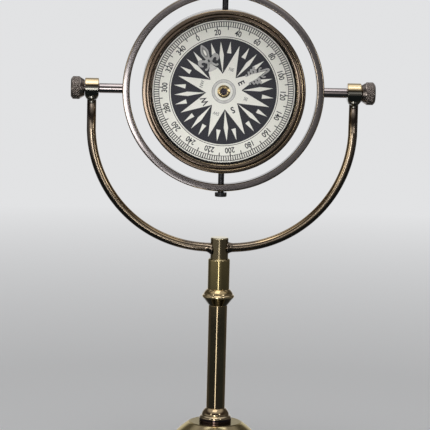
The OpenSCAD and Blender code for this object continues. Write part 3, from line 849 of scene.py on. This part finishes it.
def make_case():
    """Turned bowl with a stepped front edge, a bored hollow and two rings turned into its back."""
    back, front = fronts("case")
    r = half_width("case")
    bezel_r = half_width("bezel_ring") + CLEARANCE
    glass_front = fronts("glass")[1]
    ledge = fronts("glass_gasket")[0]
    floor, seat_r, hollow_r, cut = back + 2.8, 46.7, 10.0, 0.5
    ring_in, ring_out, groove, groove_to = 37.8, 39.0, 0.25, front - 3.5
    outline = [
        (0, back + cut, 0), (hollow_r, back + cut, 0.1), (hollow_r + 0.4, back, 0.1),
        (ring_in, back, 0.15), (ring_in, back + cut, 0.1),
        (ring_out, back + cut, 0.1), (ring_out, back, 0.15), (r, back, 3.0),
        (r, groove_to - 0.9, 0.1), (r - groove, groove_to - 0.7, 0.08),
        (r - groove, groove_to - 0.2, 0.08), (r, groove_to, 0.1),
        (r, front - 0.09, 0.9), (bezel_r, front, 0.3), (bezel_r, glass_front, 0.1),
        (seat_r, glass_front, 0.1), (seat_r, ledge, 0.1), (BORE_R, ledge, 0.15),
        (BORE_R, floor, 0.8), (0, floor, 0),
    ]
    piece = turned("turned_case", outline, facing_front(), sides=288)

    def bare_bore(x, y, z):
        """Bare metal on the wall of the hollow."""
        return 1.0 if math.hypot(x, z - AXIS_Z) < BORE_R + 0.1 and -y > floor + 1 else 0.0

    rub(piece, bare_bore)
    settle(piece, CASE_METAL, "compass", "case_bronze", "case")


def make_bezel():
    """Ring that holds the glass, its front face crowned."""
    low, front = fronts("bezel_ring")
    outer, edge = half_width("bezel_ring"), 0.3
    front_face, drop = crown(BORE_R, outer, front, 3.2, 0.7)
    outline = [
        (outer, low, 0.1), (outer, front - drop, edge), *front_face,
        (BORE_R, front - drop, edge), (BORE_R, low, 0.1),
    ]
    piece = turned("glass_ring", outline, facing_front(), sides=288)
    settle(piece, CASE_METAL, "compass", "case_bronze", "bezel_ring")


def make_cap():
    """Brass cap at the card's middle with a six-sided recess."""
    low, high = fronts("card_cap")
    r = half_width("card_cap")
    recess_r, flats, floor = 2.1, 0.94, low + 0.25

    def six_sided(radius, height, angle):
        """A six-sided recess in the round cap."""
        if radius > recess_r + 0.2 or height < low + 0.2:
            return radius
        turn = (angle + math.pi / 6) % (math.pi / 3) - math.pi / 6
        return radius * (flats / math.cos(turn))

    outline = [
        (0, low, 0), (r, low, 0), (r, low + 0.45, 0.25), (r - 1.0, high, 0.25), (recess_r, high, 0.12),
        (recess_r - 0.2, floor, 0.1), (0, floor, 0),
    ]
    piece = turned("card_cap_turned", outline, facing_front(), sides=120, spacing=1.0, shape=six_sided)
    # Painted shade: the six-sided recess is painted dark.
    stain(piece, lambda x, y, z: (recess_r + 0.1 - math.hypot(x, z - AXIS_Z)) / 0.2)
    settle(piece, CAP_METAL, "card", "cap_brass", "card_cap")


# Printed card

NORTH = math.radians(27.3)  # how far the card's north lies to the left of upright
CARD_FRONT = fronts("card_disc")[1]
INK = 0.02
INK_SPREAD = 0.022
CAPITAL = 0.72  # height of a capital letter at size 1
NARROWING = 0.86


def facing_card(bearing=0.0):
    """The card's plane: +Y towards that bearing, clockwise from its north, and +Z towards the viewer."""
    return facing_front() @ Matrix.Rotation(NORTH - math.radians(bearing), 4, "Z")


def layer(level):
    """How far forward a printed layer begins and ends; a higher level lies on the lower ones."""
    return CARD_FRONT + level * INK, CARD_FRONT + (level + 1) * INK


def prism(shell, outline, low, high):
    """Adds a flat plate with that outline to a mesh under construction."""
    back = [shell.verts.new((x, y, low)) for x, y in outline]
    front = [shell.verts.new((x, y, high)) for x, y in outline]
    shell.faces.new(front)
    shell.faces.new(back[::-1])
    for k in range(len(outline)):
        after = (k + 1) % len(outline)
        shell.faces.new((back[k], back[after], front[after], front[k]))


def band(shell, inner, outer, low, high, sides=180):
    """Adds a flat ring to a mesh under construction."""
    rings = []
    for radius, height in ((inner, low), (outer, low), (outer, high), (inner, high)):
        turns = [2 * math.pi * k / sides for k in range(sides)]
        rings.append([shell.verts.new((radius * math.sin(a), radius * math.cos(a), height)) for a in turns])
    for ring, following in zip(rings, rings[1:] + rings[:1]):
        for k in range(sides):
            after = (k + 1) % sides
            shell.faces.new((ring[k], ring[after], following[after], following[k]))


def smooth_loop(points, steps=5):
    """A closed smooth curve through given points."""
    loop = []
    for i in range(len(points)):
        a, b, c, d = (Vector(points[(i + k) % len(points)]) for k in (-1, 0, 1, 2))
        for k in range(steps):
            t = k / steps
            loop.append(0.5 * (2 * b + (c - a) * t + (2 * a - 5 * b + 4 * c - d) * t * t
                               + (3 * b - 3 * c + d - a) * t * t * t))
    return loop


def flipped(points):
    """The points' mirror image across the middle line."""
    return [(-x, y) for x, y in points]


def symmetric(points):
    """A smooth curve down a right half from its tip, and back up along its mirror image."""
    return smooth_loop(points + [(x, y) for x, y in flipped(reversed(points)) if abs(x) > NEAR_ZERO])


def both_sides(points):
    """A smooth curve on the right of the middle line, and its mirror image."""
    return [smooth_loop(points), smooth_loop(flipped(points))]


def copies_tree():
    """Geometry Nodes that repeat a shape round the middle of the card and give it its ink."""
    tree = bpy.data.node_groups.new("copies_round_the_card", "GeometryNodeTree")
    tree.interface.new_socket("Shape", in_out="INPUT", socket_type="NodeSocketGeometry")
    tree.interface.new_socket("Count", in_out="INPUT", socket_type="NodeSocketInt")
    tree.interface.new_socket("Ink", in_out="INPUT", socket_type="NodeSocketMaterial")
    tree.interface.new_socket("Copies", in_out="OUTPUT", socket_type="NodeSocketGeometry")
    given = new_node(tree, "NodeGroupInput").outputs
    step = math_node(tree, "DIVIDE", 2 * math.pi, given["Count"])
    index = new_node(tree, "GeometryNodeInputIndex").outputs[0]
    turn = new_node(tree, "ShaderNodeCombineXYZ", {"Z": math_node(tree, "MULTIPLY", index, step)})
    rotation = new_node(tree, "FunctionNodeEulerToRotation", {0: turn.outputs[0]})
    points = new_node(tree, "GeometryNodePoints", {"Count": given["Count"]})
    inputs = {"Points": points.outputs[0], "Instance": given["Shape"], "Rotation": rotation.outputs[0]}
    copies = new_node(tree, "GeometryNodeInstanceOnPoints", inputs)
    real = new_node(tree, "GeometryNodeRealizeInstances", {0: copies.outputs[0]})
    inputs = {"Geometry": real.outputs[0], "Material": given["Ink"]}
    inked = new_node(tree, "GeometryNodeSetMaterial", inputs)
    new_node(tree, "NodeGroupOutput", {"Copies": inked.outputs[0]})
    return tree


COPIES = copies_tree()


def repeated(mesh, count, ink):
    """A plain mesh of that many copies of a mesh round the card's middle."""
    carrier = bpy.data.objects.new("carrier", mesh)
    scene.collection.objects.link(carrier)
    modifier = carrier.modifiers.new("Copies", "NODES")
    modifier.node_group = COPIES
    sockets = {item.name: item.identifier for item in COPIES.interface.items_tree if item.in_out == "INPUT"}
    modifier[sockets["Count"]] = count
    modifier[sockets["Ink"]] = ink
    result = bpy.data.meshes.new_from_object(carrier.evaluated_get(bpy.context.evaluated_depsgraph_get()))
    carrier.modifiers.remove(modifier)
    bpy.data.objects.remove(carrier)
    return result


def printed(name, ink, level, outlines=(), bands=(), bearing=0.0, count=1):
    """Thin printed shapes on the card, repeated round its middle if count is more than 1."""
    low, high = layer(level)
    shell = bmesh.new()
    for outline in outlines:
        prism(shell, outline, low, high)
    for inner, outer in bands:
        band(shell, inner, outer, low, high)
    bmesh.ops.recalc_face_normals(shell, faces=shell.faces)
    mesh = finished(shell, name)
    if count > 1:
        mesh = repeated(mesh, count, ink)
        mesh.name = name
    mesh.transform(facing_card(bearing))
    settle(bpy.data.objects.new(name, mesh), ink, "card", "card_paper")


def lettering(name, ink, level, words):
    """Printed (text, bearing, radius, height) words with their tops outwards."""
    low, high = layer(level)
    shell = bmesh.new()
    for text, bearing, radius, height in words:
        data = bpy.data.curves.new(name, "FONT")
        data.body = text
        data.align_x = "CENTER"
        data.align_y = "CENTER"
        data.extrude = 0.5
        data.offset = INK_SPREAD
        data.resolution_u = 4
        writer = bpy.data.objects.new(name, data)
        word = bpy.data.meshes.new_from_object(writer)
        size = height / CAPITAL
        place = facing_card(bearing) @ Matrix.Translation((0, radius, (low + high) / 2))
        word.transform(place @ Matrix.Diagonal((size * NARROWING, size, high - low, 1)))
        shell.from_mesh(word)
        bpy.data.meshes.remove(word)
        bpy.data.objects.remove(writer)
        bpy.data.curves.remove(data)
    bmesh.ops.remove_doubles(shell, verts=shell.verts, dist=1e-8)
    settle(bpy.data.objects.new(name, finished(shell, name)), ink, "card", "card_paper")


def polar(bearing, radius):
    """A point on the card, its bearing clockwise from north."""
    angle = math.radians(bearing)
    return radius * math.sin(angle), radius * math.cos(angle)


def tick(bearing, inner, outer, width):
    """Outline of one straight tick across the scale."""
    across = Vector(polar(bearing + 90, width / 2))
    near, far = Vector(polar(bearing, inner)), Vector(polar(bearing, outer))
    return [near - across, far - across, far + across, near + across]


def make_scale():
    """Degree scale: a tick every two degrees, a longer one every ten, and a figure every twenty."""
    outer, inner, long_inner, width = 42.6, 39.6, 37.6, 0.56
    short_ticks = [tick(2 * k, inner, outer, width) for k in range(1, 5)]
    ten_degrees = short_ticks + [tick(0, long_inner, outer, width)]
    printed("scale_ticks", BLACK_INK, 0, outlines=ten_degrees, count=36)
    circles = [(42.7, 0.42), (39.65, 0.34), (33.35, 0.36)]
    printed("scale_circles", BLACK_INK, 0, bands=[(r - line / 2, r + line / 2) for r, line in circles])
    words = [(str(figure), figure, 36.1, 3.4) for figure in range(0, 360, 20)]
    lettering("scale_figures", BLACK_INK, 0, words)


def make_rose():
    """Eight-pointed star with lozenges and short wedges between its points, on a black disc."""
    disc_r, tip_r, root_r = 32.5, 29.4, 10.85
    printed("rose_ground", BLACK_INK, 0, outlines=[[polar(2 * k, disc_r) for k in range(180)]])
    star = [polar(22.5 * k, tip_r if k % 2 == 0 else root_r) for k in range(16)]
    printed("rose_star", PAPER, 1, outlines=[star])
    lozenge = [(0, 11.5), (1.35, 22.3), (0, 30.4), (-1.35, 22.3)]
    printed("rose_lozenges", PAPER, 1, outlines=[lozenge], bearing=22.5, count=8)
    wedge = [(0, 30.8), (1.35, 23.6), (-1.35, 23.6)]
    printed("rose_wedges", PAPER, 1, outlines=[wedge], bearing=11.25, count=16)
    printed("middle_rings", GREY_INK, 2, bands=[(5.55, 5.8), (7.1, 7.4)])
    printed("middle_band", FAINT_INK, 2, bands=[(5.8, 7.1)])
    letters = [("E", 90, 11.7, 4.0), ("S", 180, 12.5, 4.0), ("W", 270, 13.0, 4.0)]
    lettering("rose_letters", BLACK_INK, 2, letters)
    small_letters = [(word, 45 + 90 * k, 14.1, 2.1) for k, word in enumerate(("NE", "SE", "SW", "NW"))]
    lettering("rose_small_letters", GREY_INK, 2, small_letters)


def make_fleur():
    """Lily at north: a tall middle petal, two curled side petals, a band and two curls below it."""
    petal = [(0, 31.6), (1.5, 29.6), (2.35, 27.0), (1.9, 24.4), (1.0, 22.0)]
    inner_petal = [(0, 30.2), (1.0, 28.6), (1.5, 26.8), (1.2, 25.0), (0.5, 23.4)]
    heart = [(0, 28.4), (0.55, 27.2), (0.6, 25.9), (0.3, 24.6)]
    side = [(0.6, 22.6), (2.2, 22.2), (4.0, 23.4), (5.6, 23.6), (6.8, 22.0), (6.5, 20.0), (5.0, 18.9),
            (4.2, 19.4), (4.9, 20.4), (4.6, 21.4), (3.2, 21.2), (1.9, 20.0), (0.8, 19.2)]
    curl = [(0.4, 19.8), (1.8, 19.0), (3.0, 17.4), (4.2, 17.3), (4.4, 16.3), (3.2, 16.0), (1.9, 16.9),
            (1.0, 18.2)]
    foot = [(0, 18.8), (0.9, 18.2), (1.6, 16.6), (2.7, 14.9), (1.4, 14.4)]
    tie = [(-1.6, 18.7), (1.6, 18.7), (1.8, 19.4), (1.6, 20.1), (-1.6, 20.1), (-1.8, 19.4)]
    ground = [(-3.9, 14.9), (3.9, 14.9), (1.2, 29.6), (-1.2, 29.6)]
    printed("lily_ground", BLACK_INK, 2, outlines=[ground])
    printed("lily_outline", PALE_INK, 3, outlines=[symmetric(petal)])
    printed("lily_foot", FAINT_INK, 3, outlines=[symmetric(foot)])
    printed("lily_petals", GREY_INK, 4, outlines=[symmetric(inner_petal)])
    printed("lily_sides", PALE_INK, 4, outlines=both_sides(side) + [tie])
    printed("lily_curls", PALE_INK, 3, outlines=both_sides(curl))
    printed("lily_heart", PAPER, 5, outlines=[symmetric(heart)])


def make_east_scrolls():
    """Scrolled leaves on both sides of the east point, two hooks, and a loop round its tip."""
    leaf = [(2.0, 16.0), (3.4, 16.4), (3.1, 17.8), (4.5, 18.4), (4.0, 19.7), (5.2, 20.4), (4.8, 21.6),
            (6.0, 22.6), (4.9, 23.7), (3.7, 22.9), (3.0, 23.6), (1.6, 23.0), (1.9, 19.5)]
    hook = [(1.0, 24.3), (2.2, 24.6), (3.4, 25.6), (3.3, 27.0), (2.6, 26.9), (2.5, 26.0), (1.7, 25.5),
            (0.9, 25.8)]
    loop = [(0, 31.2), (1.0, 30.5), (1.4, 28.8), (1.7, 26.6), (1.9, 25.2)]
    slits = [[(2.1, y), (3.9, y + 0.5), (2.7, y + 1.1)] for y in (16.9, 18.9, 20.9)]
    point_edge = [(0, 30.0), (1.25, 24.9), (-1.25, 24.9)]
    point = [(0, 29.0), (1.0, 24.7), (-1.0, 24.7)]
    printed("east_leaves", PALE_INK, 2, outlines=both_sides(leaf), bearing=90)
    printed("east_hooks", PALE_INK, 2, outlines=both_sides(hook), bearing=90)
    printed("east_slits", BLACK_INK, 3, outlines=slits + [flipped(slit) for slit in slits], bearing=90)
    printed("east_loop", PALE_INK, 2, outlines=[symmetric(loop)], bearing=90)
    printed("east_point_edge", BLACK_INK, 3, outlines=[point_edge], bearing=90)
    printed("east_point", PAPER, 4, outlines=[point], bearing=90)


def dress_nodes():
    """Finishes of the solids that stay as they are, most of them hidden inside."""
    finishes = {
        GLASS: ["glass"],
        RUBBER: ["glass_gasket"],
        PAPER: ["card_disc"],
        CAP_METAL: ["card_hub", "pivot_post"],
        RUBY: ["jewel_cup"],
        MAGNET: ["magnets"],
        ZINC: ["pivot_needle", "tie_rod", "base_washer", "base_nut"],
    }
    for material, names in finishes.items():
        for name in names:
            mesh = frame["nodes"][name].data
            mesh.materials.clear()
            mesh.materials.append(material)


make_base()
make_felt()
make_foot_collar()
make_tube()
make_knop()
make_sleeve()
make_post()
make_arms()
make_eyes()
make_ring()
make_spindles()
make_knobs()
make_screws()
make_case()
make_bezel()
make_cap()
make_scale()
make_rose()
make_fleur()
make_east_scrolls()
dress_nodes()


# Camera, floor and light

CAMERA_DISTANCE = 1.5
CAMERA_AZIMUTH = math.radians(-2.5)
CAMERA_PITCH = math.radians(7.5)
CAMERA_ROLL = math.radians(1.41)
FOCAL_LENGTH = 203.1
LOOK_AT = Vector((-0.00322, 0.0, 0.16287))


def make_camera():
    """Long lens in front, a little to the left and above, rolled as the object leans in the picture."""
    data = bpy.data.cameras.new("camera")
    data.lens = FOCAL_LENGTH
    data.clip_end = 20.0
    camera = bpy.data.objects.new("camera", data)
    scene.collection.objects.link(camera)
    level, up = math.cos(CAMERA_PITCH), math.sin(CAMERA_PITCH)
    back = Vector((math.sin(CAMERA_AZIMUTH) * level, -math.cos(CAMERA_AZIMUTH) * level, up))
    aim = (-back).to_track_quat("-Z", "Y").to_matrix().to_4x4()
    place = Matrix.Translation(LOOK_AT + back * CAMERA_DISTANCE)
    camera.matrix_world = place @ aim @ Matrix.Rotation(CAMERA_ROLL, 4, "Z")
    scene.camera = camera


def soft_light(name, place, target, width, height, watts):
    """A rectangular lamp that the camera doesn't see."""
    data = bpy.data.lights.new(name, "AREA")
    data.shape = "RECTANGLE"
    data.size, data.size_y = width, height
    data.energy = watts
    light = bpy.data.objects.new(name, data)
    light.visible_camera = False
    scene.collection.objects.link(light)
    light.location = place
    light.rotation_euler = (Vector(target) - Vector(place)).to_track_quat("-Z", "Y").to_euler()
    return light


def mirrored_light(*settings):
    """A soft light that only shows as a reflection in polished metal."""
    soft_light(*settings).visible_diffuse = False


BACKGROUND = (0.76, 0.765, 0.775)
EVEN_LIGHT = (0.42, 0.42, 0.42)

# What metal mirrors in each direction
ROOM_FRONT = (0.36, 0.35, 0.345)
ROOM_LEFT = (0.42, 0.41, 0.39)
ROOM_RIGHT = (0.15, 0.145, 0.14)
ROOM_SIDE = (0.09, 0.085, 0.075)
ROOM_SHADE = (0.06, 0.055, 0.055)
ROOM_ABOVE = (0.70, 0.70, 0.72)
FLOOR_NEAR = (0.035, 0.042, 0.045)


def front_of_room(tree, across):
    """The mirrored room ahead of the object: palest to the left, and dark to the right."""
    left = mix_colour(tree, remap(tree, across, -0.15, -0.6), ROOM_FRONT, ROOM_LEFT)
    return mix_colour(tree, remap(tree, across, 0.15, 0.45), left, ROOM_RIGHT)


def behind_object(tree, share, front):
    """The mirrored room round to the back: dark at the sides, and the pale wall only straight behind."""
    sides = mix_colour(tree, remap(tree, share, -0.1, 0.4), front, ROOM_SIDE)
    return mix_colour(tree, remap(tree, share, 0.8, 0.95), sides, BACKGROUND)


def make_floor():
    """Pale floor that takes the object's shadow and melts into the background further out."""
    shell = bmesh.new()
    half = 10.0
    corners = ((-half, -half), (half, -half), (half, half), (-half, half))
    shell.faces.new([shell.verts.new((x, y, 0)) for x, y in corners])
    mesh = finished(shell, "floor")
    floor = bpy.data.objects.new("floor", mesh)
    scene.collection.objects.link(floor)
    material, tree, shader = new_material("pale_floor")
    shader.inputs["Base Color"].default_value = (0.84, 0.845, 0.855, 1)
    shader.inputs["Roughness"].default_value = 0.9
    shader.inputs["Specular IOR Level"].default_value = 0.0
    place = object_coordinates(tree)
    distance = new_node(tree, "ShaderNodeVectorMath", {0: place}, operation="LENGTH").outputs["Value"]
    plain = new_node(tree, "ShaderNodeEmission", {"Color": (*BACKGROUND, 1)})
    inputs = {0: remap(tree, distance, 0.35, 1.3), 1: shader.outputs[0], 2: plain.outputs[0]}
    shown = new_node(tree, "ShaderNodeMixShader", inputs)
    across, depth, _ = new_node(tree, "ShaderNodeSeparateXYZ", {0: place}).outputs
    seen = mix_colour(tree, remap(tree, distance, 0.6, 1.1), FLOOR_NEAR, front_of_room(tree, across))
    seen = behind_object(tree, math_node(tree, "DIVIDE", depth, distance), seen)
    in_metal = new_node(tree, "ShaderNodeEmission", {"Color": seen})
    glossy = new_node(tree, "ShaderNodeLightPath").outputs["Is Glossy Ray"]
    mix = new_node(tree, "ShaderNodeMixShader", {0: glossy, 1: shown.outputs[0], 2: in_metal.outputs[0]})
    tree.links.new(mix.outputs[0], tree.nodes["Material Output"].inputs["Surface"])
    mesh.materials.append(material)


def make_world():
    """Even light and a pale background, and for metal to mirror, a darker room ahead of the object."""
    world = bpy.data.worlds.new("studio")
    scene.world = world
    world.use_nodes = True
    tree = world.node_tree
    tree.nodes.clear()
    direction = new_node(tree, "ShaderNodeTexCoord").outputs["Generated"]
    across, depth, height = new_node(tree, "ShaderNodeSeparateXYZ", {0: direction}).outputs
    room = mix_colour(tree, remap(tree, height, 0.30, 0.40), front_of_room(tree, across), ROOM_SHADE)
    room = behind_object(tree, depth, room)
    room = mix_colour(tree, remap(tree, height, 0.62, 0.82), room, ROOM_ABOVE)
    path = new_node(tree, "ShaderNodeLightPath").outputs
    mirrored_ray = math_node(tree, "MAXIMUM", path["Is Glossy Ray"], path["Is Transmission Ray"])
    lit = mix_colour(tree, mirrored_ray, EVEN_LIGHT, room)
    shown = mix_colour(tree, path["Is Camera Ray"], lit, BACKGROUND)
    background = new_node(tree, "ShaderNodeBackground", {"Color": shown, "Strength": 1.0})
    new_node(tree, "ShaderNodeOutputWorld", {"Surface": background.outputs[0]})


def card_lamp():
    """Narrow lamp from below on the left, aimed at the card's lower half, so that its top is darker."""
    data = bpy.data.lights.new("card_lamp", "SPOT")
    data.energy = 25.0
    data.spot_size = math.radians(14)
    data.spot_blend = 1.0
    data.shadow_soft_size = 0.06
    lamp = bpy.data.objects.new("card_lamp", data)
    lamp.visible_glossy = False
    scene.collection.objects.link(lamp)
    lamp.location = (-0.35, -0.9, 0.12)
    lamp.rotation_euler = (Vector((-0.014, 0, 0.195)) - lamp.location).to_track_quat("-Z", "Y").to_euler()


def make_lights():
    """Lamps by name, place, aim, width, height and power, and the windows that the metal mirrors."""
    soft_light("overhead", (-0.10, -0.34, 1.44), (0, 0, 0.24), 0.7, 0.78, 3.3)
    mirrored_light("back_overhead", (0.0, 0.30, 1.50), (0, 0, 0.1), 1.0, 0.24, 0.8)
    mirrored_light("ring_window", (-0.125, -0.60, 0.165), (-0.06, 0, 0.165), 0.145, 0.09, 0.35)
    mirrored_light("column_window", (-0.05, -0.60, 0.04), (-0.05, 0, 0.04), 0.06, 0.06, 0.07)
    mirrored_light("low_window", (-0.027, -0.15, 0.045), (0, 0, 0.045), 0.018, 0.08, 0.015)
    mirrored_light("left_window", (-0.225, -0.25, 0.23), (-0.05, 0, 0.24), 0.04, 0.18, 0.06)
    mirrored_light("right_window", (0.20, -0.25, 0.26), (0.05, 0, 0.25), 0.04, 0.08, 0.055)
    mirrored_light("far_window", (0.0, -1.6, 0.46), (0, 0, 0.24), 1.2, 0.28, 0.75)
    card_lamp()


make_camera()
make_floor()
make_world()
make_lights()
scene.view_settings.view_transform = "Standard"
